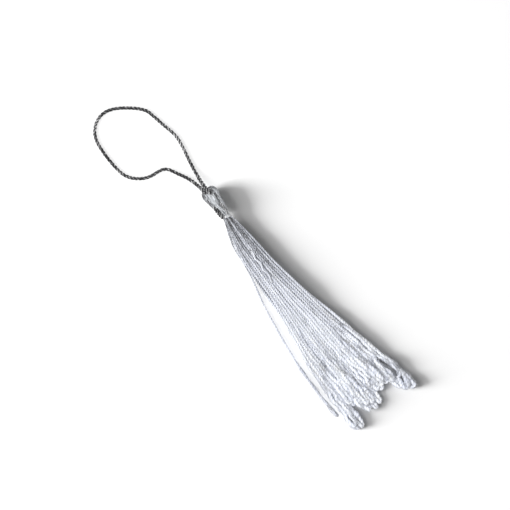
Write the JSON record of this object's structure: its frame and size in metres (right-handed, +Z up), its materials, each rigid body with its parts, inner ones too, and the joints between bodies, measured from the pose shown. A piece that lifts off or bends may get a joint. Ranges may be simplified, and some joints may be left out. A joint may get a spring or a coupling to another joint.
{
  "type": "silk tassel with a hanging loop",
  "caption": "Small white silk tassel lying flat: round folded head, bound neck, skirt of twisted strands that end in loops, and a thin grey cord loop to hang it by.",
  "frame": {"origin": "on the surface that the tassel lies on, under the widest part of the head", "axes": "+Y along the tassel from the skirt to the hanging loop, +Z up from the surface, +X to the right when seen from above with the loop at the top"},
  "size_m": [0.0342, 0.131, 0.0051],
  "materials": {
    "white_silk": "lustrous twisted silk, cool white",
    "white_thread": "fine white thread",
    "grey_cord": "charcoal-grey twisted cord with a soft sheen"
  },
  "bodies": {
    "root": {"skein": "white_silk", "neck_binding": "white_thread", "cord_tail_left": "grey_cord", "cord_tail_right": "grey_cord", "hanging_loop": "grey_cord"}
  },
  "joints": []
}
